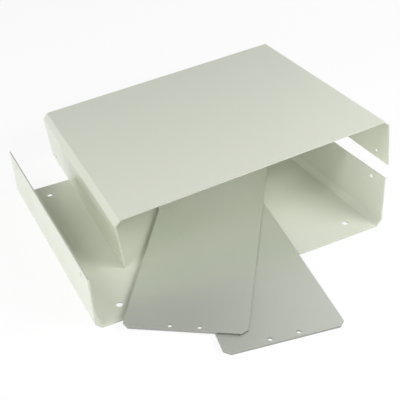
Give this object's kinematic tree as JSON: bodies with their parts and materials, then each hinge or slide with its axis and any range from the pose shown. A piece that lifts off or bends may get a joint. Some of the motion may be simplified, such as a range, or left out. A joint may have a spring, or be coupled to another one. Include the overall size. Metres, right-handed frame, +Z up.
{
  "type": "sheet metal chassis",
  "caption": "Folded sheet metal instrument case lying open: U-shaped tray with facetted corners, matching cover stood across it at a slant, and flat end panels with cut corners.",
  "frame": {"origin": "middle of the base tray's underside, at the centre of its foot hole pattern", "axes": "+X across the case from the tray's left wall to its right wall, +Y from its front to its back, +Z up"},
  "size_m": [0.2628, 0.3007, 0.058],
  "materials": {
    "shell_paint": "semi-gloss cream-grey paint",
    "panel_sheet": "satin grey"
  },
  "bodies": {
    "root": {"base_tray": "shell_paint", "top_cover": "shell_paint", "front_panel": "panel_sheet", "rear_panel": "panel_sheet"}
  },
  "joints": []
}
